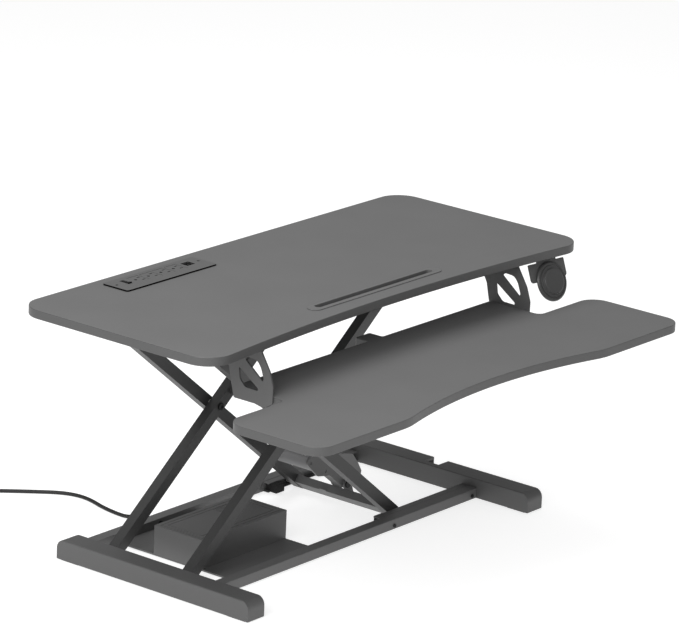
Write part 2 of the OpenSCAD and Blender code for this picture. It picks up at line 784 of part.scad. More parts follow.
// Power panel: a flanged plate with a shallow box below it, let into the board
outlet_pitch = 30.2;
outlet_x = -240;
outlet_y = 156;
outlet_size = [27, 28];
switch_x = -268.5;
switch_y = 157;
switch_size = [9.4, 21.4];
usb_x = [-129, -110];
module power_panel() {
    wall = 1.6;
    deep = 28;
    w = panel_x[1] - panel_x[0];
    d = panel_y[1] - panel_y[0];
    cx = (panel_x[0] + panel_x[1]) / 2;
    cy = (panel_y[0] + panel_y[1]) / 2;
    fit = 0.3;
    bw = w - 2 * body_inset[0] - 2 * fit;
    bd = d - 2 * body_inset[1] - 2 * fit;
    color("#2c2c2d") at_desk() difference() {
        union() {
            translate([cx, cy, top_z]) linear_extrude(panel_t) plate(w, d, 4);
            translate([cx - bw / 2, cy - bd / 2, top_z + panel_t - deep])
                cube([bw, bd, deep - panel_t + eps]);
        }
        translate([cx - bw / 2 + wall, cy - bd / 2 + wall, top_z + panel_t - deep + wall])
            cube([bw - 2 * wall, bd - 2 * wall, deep - panel_t - wall]);
        for (i = [0 : 3]) outlet_block(i, outlet_size[0], outlet_size[1], top_z - 1, top_z + panel_t + 1);
        block([usb_x[0], switch_y - 8, top_z - 1], [usb_x[1], switch_y + 8, top_z + panel_t + 1]);
        block([switch_x - switch_size[0] / 2, switch_y - switch_size[1] / 2, top_z - 1],
              [switch_x + switch_size[0] / 2, switch_y + switch_size[1] / 2, top_z + panel_t + 1]);
        for (x = [-291, -95]) translate([x, 156, top_z + panel_t - 1]) cylinder(r = 2.6, h = 2);
    }
}
module outlet_block(i, w, d, z0, z1) {
    x = outlet_x + i * outlet_pitch;
    block([x - w / 2, outlet_y - d / 2, z0], [x + w / 2, outlet_y + d / 2, z1]);
}
module outlet_faces() {
    face_z = [top_z - 12, top_z + panel_t - 0.5];
    color("#232324") at_desk() {
        for (i = [0 : 3]) difference() {
            outlet_block(i, outlet_size[0] - 0.2, outlet_size[1] - 0.2, face_z[0], face_z[1]);
            translate([outlet_x + i * outlet_pitch, outlet_y, 0]) {
                translate([-6.3, 0, face_z[0] + 1]) cylinder(r = 2.7, h = 20);
                for (y = [-6.2, 6.2]) block([2.6, y - 1.1, face_z[0] + 1], [10, y + 1.1, top_z + 10]);
            }
        }
        difference() {
            block([usb_x[0] + 0.1, switch_y - 7.9, face_z[0]], [usb_x[1] - 0.1, switch_y + 7.9, face_z[1]]);
            for (y = [-4, 4]) block([usb_x[0] + 3, switch_y + y - 2.4, face_z[0] + 1],
                                    [usb_x[1] - 3, switch_y + y + 2.4, top_z + 10]);
        }
    }
}
module rocker_switch() {
    tilt = 8;
    half = 9.4;
    w = switch_size[0] - 0.8;
    stub = 0.3;
    color("#101011") at_desk() translate([switch_x, switch_y, top_z + 1.2]) rotate([-tilt, 0, 0]) {
        rod_x(1, -w / 2 - stub, w + 2 * stub);
        profile_yz(-w / 2, w)
            polygon([[-half, 2.2], [0, 1.2], [half, 2.2], [half - 1.2, -3.6], [1.2 - half, -3.6]]);
    }
}
module tablet_slot_insert() {
    rim_t = 1.5;
    color("#7c7c7d") at_desk() difference() {
        union() {
            translate([0, slot_y, top_z]) linear_extrude(rim_t) pill(slot_rim[0], slot_rim[1]);
            translate([0, slot_y + 2, top_z - slot_deep - 1.6]) linear_extrude(slot_deep + 2)
                pill(slot_size[0] + 3, slot_size[1] + 3);
        }
        translate([0, slot_y + 2, top_z - slot_deep]) linear_extrude(slot_deep + 10)
            pill(slot_size[0], slot_size[1]);
    }
}

// ---------- lift control ----------

dial_at = [396, -192.5, 390];
dial_lean = 21;
dial_yaw = 7;
dial_r = 33.5;
stub_r = 4;
// Local frame of the control: +z out of the dial's face, +y up its plate
module at_dial() {
    at_desk() translate(dial_at) rotate([90 - dial_lean, 0, -dial_yaw]) children();
}
module control_plate() {
    plate_w = [-43.4, 40.6];
    plate_y = [3.4, 34.9];
    neck_w = 45;
    back = 2;
    color("#3a3a3c") {
        difference() {
            at_dial() {
                translate([0, 0, -back]) linear_extrude(back) {
                    polygon(rounded([[plate_w[0], plate_y[0], 6], [plate_w[1], plate_y[0], 6],
                                     [plate_w[1], plate_y[1], 2], [plate_w[0], plate_y[1], 2]]));
                    circle(25);
                    translate([-neck_w / 2, plate_y[1] - 1]) square([neck_w, 18]);
                }
                cylinder(r = stub_r, h = 6);
            }
            block([0, -400, board_z], [600, 400, board_z + 100]);
        }
        at_desk() block([dial_at[0] - neck_w / 2, -176.6, board_z - 2],
                        [dial_at[0] + neck_w / 2, -150, board_z]);
    }
}
module control_dial() {
    color("#38383a") at_dial() rotate_extrude() polygon([
        [stub_r + run_gap, 0.4], [dial_r - 2.5, 0.4], [dial_r, 1.6], [dial_r, 3.4], [dial_r - 2.2, 5.6],
        [28.4, 5.6], [28.4, 4.6], [26.7, 4.6], [26.7, 6.2], [22.2, 6.6], [21.6, 9.2], [20.4, 10],
        [0, 10], [0, 6.5], [stub_r + run_gap, 6.5]
    ]);
}

// ---------- keyboard tray ----------

module tray_outline() {
    hw = tray_w / 2;
    r = tray_corner;
    tongue = tongue_w / 2;
    inner_r = 12;
    tab_x = [5, 42];
    tab_y = -95;
    // The front recess is one long arc, met by a blend of the other sense at each end
    turn = acos(1 - recess_depth / (recess_r + recess_blend));
    side = recess_r * tan(turn) + recess_blend * tan(turn / 2);
    bend_x = side * cos(turn);
    mid_y = side * sin(turn) - tray_front;
    polygon(rounded([
        [-hw, -tray_front, r], [-bend_x, -tray_front, recess_blend], [0, mid_y, recess_r],
        [bend_x, -tray_front, recess_blend], [hw, -tray_front, r], [hw, -wing_y, r],
        [tongue, -wing_y, inner_r], [tongue, -tongue_y, 6], [tab_x[1], -tongue_y, 3],
        [tab_x[1], tab_y, 4], [tab_x[0], tab_y, 4], [tab_x[0], -tongue_y, 3],
        [-tongue, -tongue_y, 6], [-tongue, -wing_y, inner_r], [-hw, -wing_y, r]
    ]));
}
module keyboard_tray() {
    color("#6b6b6c") at_desk() translate([0, 0, tray_z - board_t]) linear_extrude(board_t) tray_outline();
}
// A tray bracket's side plate, [y, z], with its two windows
module bracket_side() {
    difference() {
        polygon(rounded([
            [-108, board_z, 0], [-108, 396, 4], [-113.5, 386, 10], [-119, 360, 20], [-125, 338, 3],
            [-168, 338, 6], [-184.5, 334.5, 4], [-203, 346, 3], [-203.5, 372, 14], [-195.4, 395.6, 20],
            [-176.5, 426, 6], [-175, board_z, 0]
        ]));
        polygon(rounded([[-133, 391, 1.5], [-136, 371, 8], [-147, 360, 9],
                         [-173, 359.5, 2], [-173, 364, 1.5]]));
        polygon(rounded([[-144.5, 406, 2], [-152, 410, 4], [-170, 409, 14], [-178, 398, 14],
                         [-184, 381, 2], [-182, 376.5, 1.5]]));
    }
}
module tray_bracket() {
    bracket_t = 3;
    x0 = tongue_w / 2;
    screw_r = 2.1;
    profile_yz(x0, bracket_t) bracket_side();
    difference() {
        union() {
            block([x0 - 22, -172, board_z - bracket_t], [x0, -112, board_z]);
            block([x0 - 24, -168, tray_z - board_t - bracket_t], [x0, -127, tray_z - board_t]);
        }
        for (y = [-160, -135]) {
            translate([x0 - 12, y, board_z - 5]) cylinder(r = screw_r, h = 10);
            translate([x0 - 13, y, tray_z - board_t - 5]) cylinder(r = screw_r, h = 10);
        }
    }
}
module right_tray_bracket() { color("#4e4e50") at_desk() tray_bracket(); }
module left_tray_bracket() { color("#4e4e50") at_desk() mirror([1, 0, 0]) tray_bracket(); }
module bracket_screws() {
    x0 = tongue_w / 2;
    color("#2a2a2b") at_desk() for (s = [0, 1], y = [-160, -135]) mirror([s, 0, 0])
        for (p = [[x0 - 12, board_z], [x0 - 13, tray_z - board_t]])
            translate([p[0], y, p[1] - 5]) difference() {
                union() {
                    cylinder(r = 2.1, h = 5);
                    cylinder(r = 4.2, h = 2);
                }
                translate([0, 0, -0.1]) cylinder(r = 1.8, h = 1.1, $fn = 6);
            }
}

left_foot();
right_foot();
foot_pads();
front_rail();
rear_rail();
front_base_track();
rear_base_track();
track_stops();
base_plate();
base_pivot_brackets();
base_pivot_pins();
rail_screws();
power_box();
power_box_lid();
power_supply();
inner_lead();
cord_gland();
power_cord();
cord_coil();
cord_tie();
cord_plug();
front_arm_a();
rear_arm_a();
ram_cross_tube();
upper_tube_a();
top_roller_axles();
cross_bolts();
cross_washers();
front_arm_b();
rear_arm_b();
lower_bar_b();
upper_tube_b();
clevis_bracket();
clevis_pin();
stop_gussets();
base_roller_axles();
base_roller_front();
base_roller_rear();
top_roller_front();
top_roller_rear();
gearbox_housing();
motor();
ram_tube();
lead_screw();
ram_rod();
worktop_board();
top_cross_rails();
front_top_track();
rear_top_track();
top_pivot_pins();
power_panel();
outlet_faces();
tablet_slot_insert();
control_plate();
keyboard_tray();
left_tray_bracket();
right_tray_bracket();
bracket_screws();
control_dial();
rocker_switch();
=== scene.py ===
"""Electric standing desk converter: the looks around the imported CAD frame.

Metres. X runs along the worktop, +Y points to its rear edge, +Z up, and z = 0 is the desk that it stands on.
"""

import json
import math

import bmesh
import bpy
from mathutils import Matrix, Vector


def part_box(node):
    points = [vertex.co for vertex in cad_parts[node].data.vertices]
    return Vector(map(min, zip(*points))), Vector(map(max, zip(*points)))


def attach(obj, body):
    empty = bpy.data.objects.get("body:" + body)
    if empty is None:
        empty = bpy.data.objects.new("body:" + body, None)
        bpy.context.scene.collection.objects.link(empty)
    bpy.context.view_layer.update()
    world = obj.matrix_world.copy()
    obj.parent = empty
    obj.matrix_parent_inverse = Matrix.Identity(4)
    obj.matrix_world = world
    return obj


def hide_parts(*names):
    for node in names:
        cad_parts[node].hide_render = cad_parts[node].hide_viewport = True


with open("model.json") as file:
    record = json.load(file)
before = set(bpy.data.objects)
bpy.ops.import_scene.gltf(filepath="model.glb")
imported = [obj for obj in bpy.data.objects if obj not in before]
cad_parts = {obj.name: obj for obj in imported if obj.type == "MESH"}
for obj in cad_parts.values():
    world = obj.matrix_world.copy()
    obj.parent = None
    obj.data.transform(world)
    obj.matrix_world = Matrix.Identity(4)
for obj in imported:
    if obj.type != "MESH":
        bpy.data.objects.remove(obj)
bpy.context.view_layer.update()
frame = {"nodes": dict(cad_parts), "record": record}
scene = bpy.context.scene

# ---------- camera ----------

# Fitted to the photo's straight edges. In degrees, yaw goes from +Y towards +X, pitch is above level
# and roll is anticlockwise.
CAMERA_AT = Vector((-5.549, -4.4105, 2.5908))
CAMERA_YAW = 51.258
CAMERA_PITCH = -17.162
CAMERA_ROLL = 2.385
CAMERA_LENS = 245.5


def add_camera():
    yaw, pitch, roll = (math.radians(a) for a in (CAMERA_YAW, CAMERA_PITCH, CAMERA_ROLL))
    forward = Vector((math.sin(yaw) * math.cos(pitch), math.cos(yaw) * math.cos(pitch), math.sin(pitch)))
    right = Vector((math.cos(yaw), -math.sin(yaw), 0))
    up = right.cross(forward)
    across = math.cos(roll) * right + math.sin(roll) * up
    upward = math.cos(roll) * up - math.sin(roll) * right
    data = bpy.data.cameras.new("camera")
    data.lens = CAMERA_LENS
    data.clip_end = 50
    camera = bpy.data.objects.new("camera", data)
    scene.collection.objects.link(camera)
    turned = Matrix((across, upward, -forward)).transposed().to_4x4()
    camera.matrix_world = Matrix.Translation(CAMERA_AT) @ turned
    scene.camera = camera


add_camera()

# ---------- materials ----------


def shader(name):
    """A new material with its node tree and its Principled shader."""
    material = bpy.data.materials.new(name)
    material.use_nodes = True
    return material, material.node_tree, material.node_tree.nodes["Principled BSDF"]


def noise(tree, scale, detail=3.0):
    """Noise fixed to the object, with scale in features per metre."""
    place = tree.nodes.new("ShaderNodeTexCoord")
    texture = tree.nodes.new("ShaderNodeTexNoise")
    texture.inputs["Scale"].default_value = scale
    texture.inputs["Detail"].default_value = detail
    tree.links.new(place.outputs["Object"], texture.inputs["Vector"])
    return texture.outputs["Fac"]


def spread(tree, value, low, high, out_low, out_high):
    """Value from low..high mapped to out_low..out_high."""
    node = tree.nodes.new("ShaderNodeMapRange")
    for name, number in (("From Min", low), ("From Max", high), ("To Min", out_low), ("To Max", out_high)):
        node.inputs[name].default_value = number
    tree.links.new(value, node.inputs["Value"])
    return node.outputs["Result"]


def blend_colours(tree, factor, first, second):
    node = tree.nodes.new("ShaderNodeMix")
    node.data_type = "RGBA"
    tree.links.new(factor, node.inputs["Factor"])
    for socket, colour in (("A_Color", first), ("B_Color", second)):
        next(s for s in node.inputs if s.identifier == socket).default_value = (*colour, 1)
    return next(s for s in node.outputs if s.identifier == "Result_Color")


def bumped(tree, bsdf, height, distance, strength):
    node = tree.nodes.new("ShaderNodeBump")
    node.inputs["Distance"].default_value = distance
    node.inputs["Strength"].default_value = strength
    tree.links.new(height, node.inputs["Height"])
    tree.links.new(node.outputs["Normal"], bsdf.inputs["Normal"])


def grey(value):
    return (value, value, value)


# The noise's usual values, the slow patches and their part in a colour, and the values of the mix
NOISE_RANGE = (0.3, 0.7)
PATCHES_PER_METRE = 9
PATCH_SHARE = 0.35
MIXED_RANGE = (0.45, 0.9)
BUMP_STRENGTH = 0.5


def coated(name, colour, vary, grain, rough, bump, metallic=0.0, specular=0.5):
    """A finish with slow patches and a fine grain in its colour, its gloss and its surface.

    colour varies by the share vary, grain is in features per metre, rough is (lowest, highest)
    roughness, and bump is the height of the grain in metres.
    """
    material, tree, bsdf = shader(name)
    patches = noise(tree, PATCHES_PER_METRE, 2)
    fine = noise(tree, grain)
    both = tree.nodes.new("ShaderNodeMath")
    both.operation = "MULTIPLY_ADD"
    both.inputs[1].default_value = PATCH_SHARE
    tree.links.new(patches, both.inputs[0])
    tree.links.new(fine, both.inputs[2])
    factor = spread(tree, both.outputs[0], *MIXED_RANGE, 0, 1)
    dark = tuple(c * (1 - vary) for c in colour)
    light = tuple(c * (1 + vary) for c in colour)
    tree.links.new(blend_colours(tree, factor, dark, light), bsdf.inputs["Base Color"])
    tree.links.new(spread(tree, fine, *NOISE_RANGE, *rough), bsdf.inputs["Roughness"])
    bsdf.inputs["Metallic"].default_value = metallic
    bsdf.inputs["Specular IOR Level"].default_value = specular
    bumped(tree, bsdf, fine, bump, BUMP_STRENGTH)
    return material


def circuit_board():
    """Green solder mask over a lattice of copper tracks."""
    material, tree, bsdf = shader("circuit_board")
    place = tree.nodes.new("ShaderNodeTexCoord")
    brick = tree.nodes.new("ShaderNodeTexBrick")
    brick.inputs["Scale"].default_value = 120
    brick.inputs["Mortar Size"].default_value = 0.03
    colours = {"Color1": (0.01, 0.09, 0.03), "Color2": (0.012, 0.11, 0.035), "Mortar": (0.03, 0.2, 0.06)}
    for name, colour in colours.items():
        brick.inputs[name].default_value = (*colour, 1)
    tree.links.new(place.outputs["Object"], brick.inputs["Vector"])
    tree.links.new(brick.outputs["Color"], bsdf.inputs["Base Color"])
    rough = spread(tree, noise(tree, 300), *NOISE_RANGE, 0.25, 0.4)
    tree.links.new(rough, bsdf.inputs["Roughness"])
    bumped(tree, bsdf, brick.outputs["Fac"], 0.00005, 0.4)
    return material


FINISHES = {
    "tabletop": coated("tabletop_laminate", grey(0.135), 0.07, 900, (0.62, 0.74), 0.00006, specular=0.25),
    "foot_paint": coated("foot_powder_coat", grey(0.085), 0.07, 1100, (0.42, 0.55), 0.00008),
    "frame_paint": coated("frame_powder_coat", grey(0.1), 0.07, 1100, (0.42, 0.55), 0.00008),
    "arm_paint": coated("arm_powder_coat", grey(0.034), 0.08, 1100, (0.4, 0.54), 0.00008),
    "bracket_paint": coated("bracket_powder_coat", grey(0.072), 0.07, 1100, (0.42, 0.55), 0.00008),
    "box_paint": coated("box_powder_coat", grey(0.1), 0.07, 1000, (0.38, 0.5), 0.00007),
    "rubber": coated("black_rubber", grey(0.012), 0.2, 700, (0.75, 0.9), 0.00012, specular=0.3),
    "zinc_steel": coated("zinc_plate", (0.42, 0.42, 0.44), 0.12, 260, (0.28, 0.45), 0.00003, 1.0),
    "black_screw": coated("black_oxide_screw", grey(0.022), 0.2, 900, (0.3, 0.45), 0.00003, 0.7),
    "nylon": coated("white_nylon", (0.62, 0.62, 0.59), 0.04, 400, (0.38, 0.5), 0.00002),
    "circuit": circuit_board(),
    "cord_rubber": coated("cord_jacket", grey(0.014), 0.15, 900, (0.5, 0.65), 0.00004, specular=0.4),
    "tie_plastic": coated("tie_nylon", grey(0.016), 0.15, 600, (0.4, 0.55), 0.00003),
    "gearbox_alloy": coated("gearbox_casting", grey(0.13), 0.1, 800, (0.4, 0.56), 0.00012, 0.2),
    "motor_shell": coated("motor_can", (0.17, 0.17, 0.172), 0.06, 500, (0.4, 0.52), 0.00003, 0.3),
    "ram_steel": coated("ram_steel", (0.5, 0.5, 0.51), 0.07, 300, (0.22, 0.34), 0.00002, 1.0),
    "screw_steel": coated("screw_steel", (0.46, 0.46, 0.47), 0.1, 300, (0.25, 0.38), 0.00003, 1.0),
    "panel_plastic": coated("panel_plastic", grey(0.108), 0.06, 1200, (0.55, 0.68), 0.00005, specular=0.3),
    "slot_plastic": coated("slot_plastic", grey(0.13), 0.06, 1200, (0.5, 0.62), 0.00004, specular=0.35),
    "dial_plastic": coated("dial_plastic", grey(0.062), 0.06, 1300, (0.3, 0.42), 0.00004),
    "switch_plastic": coated("switch_plastic", grey(0.006), 0.15, 900, (0.5, 0.62), 0.00002, specular=0.15),
}
EDGE_BAND = coated("edge_band", grey(0.07), 0.06, 1300, (0.42, 0.52), 0.00004)
# Near matte black: the real black plastic of the USB module, and painted shade in the outlet openings, the
# screw crosses and on the power panel's rim
BLACK_AND_PAINTED_SHADE = coated("black_plastic_and_painted_shade", grey(0.003), 0.15, 900, (0.85, 0.95), 0.00002, specular=0.05)
BRASS = coated("brass", (0.62, 0.43, 0.17), 0.08, 400, (0.22, 0.34), 0.00002, 1.0)

# ---------- CAD nodes ----------

# Radius of the eased edges, by node; the rest get EDGE_USUAL
EDGE = {
    "track_stops": 0.0016,
    "worktop_board": 0.0012,
    "keyboard_tray": 0.0012,
    "front_rail": 0.0012,
    "rear_rail": 0.0012,
    "power_box": 0.0008,
    "left_foot": 0.0007,
    "right_foot": 0.0007,
    "front_base_track": 0.0006,
    "rear_base_track": 0.0006,
    "control_dial": 0.0003,
    "power_box_lid": 0.0002,
    "power_supply": 0.0002,
    "outlet_faces": 0.00015,
}
for side in ("front", "rear"):
    for frame_of_arms in ("a", "b"):
        EDGE[f"{side}_arm_{frame_of_arms}"] = 0.0014
EDGE_USUAL = 0.0004
# Edges sharper than this are eased; faces closer than FLAT_ANGLE to one plane are joined first
SHARP_ANGLE = math.radians(32)
FLAT_ANGLE = math.radians(0.5)
WELD_DISTANCE = 0.00001
# Upright faces within this distance of the power panel's outside belong to its rim, which is painted black as
# shade
PANEL_SHADED_RIM = 0.004


def ease_edges(node, width):
    """Rounds the sharp edges of a CAD node as shown; its own mesh stays as it is."""
    weld = node.modifiers.new("weld", "WELD")
    weld.merge_threshold = WELD_DISTANCE
    flat = node.modifiers.new("flat", "DECIMATE")
    flat.decimate_type = "DISSOLVE"
    flat.angle_limit = FLAT_ANGLE
    bevel = node.modifiers.new("bevel", "BEVEL")
    bevel.width = width
    bevel.segments = 2
    bevel.limit_method = "ANGLE"
    bevel.angle_limit = SHARP_ANGLE
    bevel.use_clamp_overlap = True
    node.modifiers.new("normals", "WEIGHTED_NORMAL").keep_sharp = True


def dress(node, slot):
    """One CAD node gets its slot's finish and eased edges."""
    node.data.materials.clear()
    node.data.materials.append(FINISHES[slot])
    ease_edges(node, EDGE.get(node.name, EDGE_USUAL))


def band(name, material, depth=None):
    """A node's upright faces get another finish; with a depth, only those that close to its outside."""
    node = frame["nodes"][name]
    low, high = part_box(name)
    node.data.materials.append(material)
    for face in node.data.polygons:
        inside = depth and all(low[k] + depth < face.center[k] < high[k] - depth for k in (0, 1))
        if abs(face.normal.z) < 0.5 and not inside:
            face.material_index = 1


for part in frame["record"]["subparts"]:
    dress(frame["nodes"][part["node"]], part["material_slot"])
band("worktop_board", EDGE_BAND)
band("keyboard_tray", EDGE_BAND)
# Painted shade: the power panel's upright rim is made black
band("power_panel", BLACK_AND_PAINTED_SHADE, PANEL_SHADED_RIM)

# ---------- mesh helpers ----------


def piece(name, bm, material, body, replaces=()):
    """A new piece made from bm, on a CAD body."""
    mesh = bpy.data.meshes.new(name)
    bmesh.ops.recalc_face_normals(bm, faces=bm.faces)
    for face in bm.faces:
        face.smooth = True
    bm.to_mesh(mesh)
    bm.free()
    mesh.materials.append(material)
    made = bpy.data.objects.new(name, mesh)
    scene.collection.objects.link(made)
    made.modifiers.new("normals", "WEIGHTED_NORMAL").keep_sharp = True
    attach(made, body)
    if replaces:
        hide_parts(*replaces)
    return made


def add_box(bm, low, high, edge=0.0003, segments=2):
    """A box with eased edges, from its lowest to its highest corner."""
    low, high = Vector(low), Vector(high)
    made = bmesh.ops.create_cube(bm, size=1)["verts"]
    size = high - low
    bmesh.ops.transform(bm, matrix=Matrix.Diagonal((*size, 1)), verts=made)
    bmesh.ops.translate(bm, vec=(low + high) / 2, verts=made)
    edges = list({e for v in made for e in v.link_edges})
    bmesh.ops.bevel(bm, geom=edges, offset=edge, segments=segments, affect="EDGES", profile=0.5)


def add_lathe(bm, profile, at, along, steps=48):
    """Turns a profile of (radius, height) pairs about the line through at along a direction."""
    turn = Vector((0, 0, 1)).rotation_difference(Vector(along)).to_matrix().to_4x4()
    place = Matrix.Translation(Vector(at)) @ turn
    rings = []
    for radius, height in profile:
        if radius == 0:
            rings.append([bm.verts.new(place @ Vector((0, 0, height)))] * steps)
            continue
        angles = [2 * math.pi * k / steps for k in range(steps)]
        rings.append([
            bm.verts.new(place @ Vector((radius * math.cos(a), radius * math.sin(a), height))) for a in angles
        ])
    for lower, upper in zip(rings, rings[1:]):
        for k in range(steps):
            corners = [lower[k], lower[(k + 1) % steps], upper[(k + 1) % steps], upper[k]]
            corners = [v for i, v in enumerate(corners) if v not in corners[:i]]
            if len(corners) > 2:
                bm.faces.new(corners)


# ---------- power cord ----------

CORD_D = 0.0065
ROUTE = [
    (-0.156, 0.29375, 0.01),
    (-0.156, 0.30575, 0.01),
    (-0.156, 0.31775, 0.01),
    (-0.156, 0.32375, 0.0096),
    (-0.156, 0.33175, 0.008),
    (-0.156, 0.34175, 0.0053),
    (-0.156, 0.35175, 0.0037),
    (-0.1556, 0.36175, CORD_D / 2),
    (-0.154, 0.37975, CORD_D / 2),
    (-0.151, 0.39775, CORD_D / 2),
    (-0.147, 0.41475, CORD_D / 2),
    (-0.142, 0.43075, CORD_D / 2),
    (-0.1385, 0.44475, CORD_D / 2),
    (-0.1365, 0.45875, CORD_D / 2),
    (-0.137, 0.47475, CORD_D / 2),
    (-0.142, 0.49275, CORD_D / 2),
    (-0.152, 0.51075, CORD_D / 2),
    (-0.1655, 0.52775, CORD_D / 2),
    (-0.18, 0.54475, CORD_D / 2),
    (-0.195, 0.56175, CORD_D / 2),
    (-0.211, 0.57925, CORD_D / 2),
    (-0.23, 0.60045, CORD_D / 2),
    (-0.249, 0.62175, CORD_D / 2),
]
COIL_STEPS = 24
# Turns of the coil at which it starts to move in, climb or move out by one cord's width; each move
# takes 1 / SHIFT_SPEED of a turn
INWARD_TURNS = (5 / 6, 11 / 6)
CLIMB_TURN = 8 / 3
OUTWARD_TURNS = (3.5, 4.5)
SHIFT_SPEED = 6
# The plug's cord end, left of the coil's middle and above the desk
PLUG_GAP = 0.014
PLUG_MIDDLE = 0.01


def ease(t):
    """Smooth step from 0 to 1 as t goes from 0 to 1."""
    t = min(max(t, 0.0), 1.0)
    return t * t * (3 - 2 * t)


def coil_line():
    """The coil's turns: three spiral in on the desk, then the cord climbs and spirals out on top of them."""
    low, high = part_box("cord_coil")
    centre = (low + high) / 2
    outer = (high.x - low.x) / 2 - CORD_D / 2
    first = Vector(ROUTE[-1]) - centre
    start = math.atan2(first.y, first.x)
    turns = 5 + (math.pi / 2 - start) / (2 * math.pi)
    line = []
    steps = round(turns * COIL_STEPS)
    for k in range(1, steps + 1):
        turn = turns * k / steps
        inwards = sum(ease((turn - t) * SHIFT_SPEED) for t in INWARD_TURNS)
        outwards = sum(ease((turn - t) * SHIFT_SPEED) for t in OUTWARD_TURNS)
        radius = outer - CORD_D * (inwards - outwards)
        height = CORD_D * (0.5 + ease((turn - CLIMB_TURN) * SHIFT_SPEED))
        angle = start + 2 * math.pi * turn
        line.append((centre.x + radius * math.cos(angle), centre.y + radius * math.sin(angle), height))
    return line


def plug_start():
    """Where the cord goes into the plug's strain relief."""
    low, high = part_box("cord_coil")
    return Vector((0.5 * (low.x + high.x) - PLUG_GAP, high.y - CORD_D / 2, PLUG_MIDDLE))


def add_cord():
    start = plug_start()
    tail = [(start.x, start.y, start.z), (start.x - 0.006, start.y, start.z)]
    points = ROUTE + coil_line() + tail
    data = bpy.data.curves.new("power_cord_line", "CURVE")
    data.dimensions = "3D"
    data.bevel_depth = CORD_D / 2
    data.bevel_resolution = 5
    data.resolution_u = 3
    data.use_fill_caps = True
    spline = data.splines.new("BEZIER")
    spline.bezier_points.add(len(points) - 1)
    for knot, place in zip(spline.bezier_points, points):
        knot.co = place
        knot.handle_left_type = knot.handle_right_type = "AUTO"
    data.materials.append(FINISHES["cord_rubber"])
    made = bpy.data.objects.new("power_cord_line", data)
    scene.collection.objects.link(made)
    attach(made, "base")
    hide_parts("power_cord", "cord_coil")
    return made


def add_gland():
    """The tapered strain relief at the rear rail, with its ribs."""
    low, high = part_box("cord_gland")
    at = Vector(((low.x + high.x) / 2, low.y, (low.z + high.z) / 2))
    bore = CORD_D / 2 + 0.0001
    length = high.y - low.y
    profile = [(bore, 0), (0.0054, 0), (0.0054, 0.002), (0.0075, 0.0021), (0.0075, 0.0042), (0.0067, 0.005)]
    ribs = 6
    first, pitch = 0.0058, (length - 0.0066) / ribs
    for k in range(ribs):
        outer = 0.0056 - 0.0013 * k / (ribs - 1)
        at_z = first + k * pitch
        profile += [(outer - 0.0006, at_z), (outer, at_z + 0.1 * pitch), (outer, at_z + 0.6 * pitch),
                    (outer - 0.0006, at_z + 0.7 * pitch)]
    profile += [(0.0042, length - 0.0003), (0.0039, length), (bore, length), (bore, 0)]
    bm = bmesh.new()
    add_lathe(bm, profile, at, (0, 1, 0), 32)
    bmesh.ops.remove_doubles(bm, verts=bm.verts, dist=1e-7)
    return piece("strain_relief", bm, FINISHES["rubber"], "base", ["cord_gland"])


def add_plug():
    """A moulded three-pin plug: grooved grip, shoulder, ribbed relief, brass pins."""
    start = plug_start()
    relief, body_l, half_w, thick = 0.025, 0.038, 0.013, 0.02
    bm = bmesh.new()
    profile = [(0, 0.001), (0.0036, 0), (0.0042, 0.0005)]
    ribs = 6
    for k in range(ribs):
        outer = 0.0044 + 0.002 * k / (ribs - 1)
        z = 0.001 + k * relief / ribs
        groove = outer - 0.0009
        profile += [(outer, z), (outer, z + 0.0024), (groove, z + 0.0027), (groove, z + 0.0038)]
    profile += [(0.0064, relief + 0.002), (0, relief + 0.002)]
    add_lathe(bm, profile, start, (-1, 0, 0), 32)
    back, front = start.x - relief, start.x - relief - body_l
    add_box(bm, (front, start.y - half_w, 0), (front + 0.014, start.y + half_w, thick), 0.0025, 4)
    add_box(bm, (front + 0.0135, start.y - half_w + 0.0015, 0.0012),
            (back, start.y + half_w - 0.0015, thick - 0.0012), 0.005, 5)
    for k in range(4):
        x = front + 0.018 + 0.0035 * k
        add_box(bm, (x, start.y - half_w + 0.0006, 0.004),
                (x + 0.0015, start.y + half_w - 0.0006, thick - 0.004), 0.0006, 2)
    plug = piece("plug_body", bm, FINISHES["cord_rubber"], "base", ["cord_plug"])
    bm = bmesh.new()
    for side in (-0.00635, 0.00635):
        add_box(bm, (front - 0.018, start.y + side - 0.00075, 0.0098),
                (front + 0.001, start.y + side + 0.00075, 0.0162), 0.0004)
    add_lathe(bm, [(0, -0.001), (0.0024, -0.001), (0.0024, 0.0175), (0.0018, 0.0192), (0, 0.02)],
              (front, start.y, 0.0045), (-1, 0, 0), 24)
    pins = piece("plug_pins", bm, BRASS, "base")
    return plug, pins


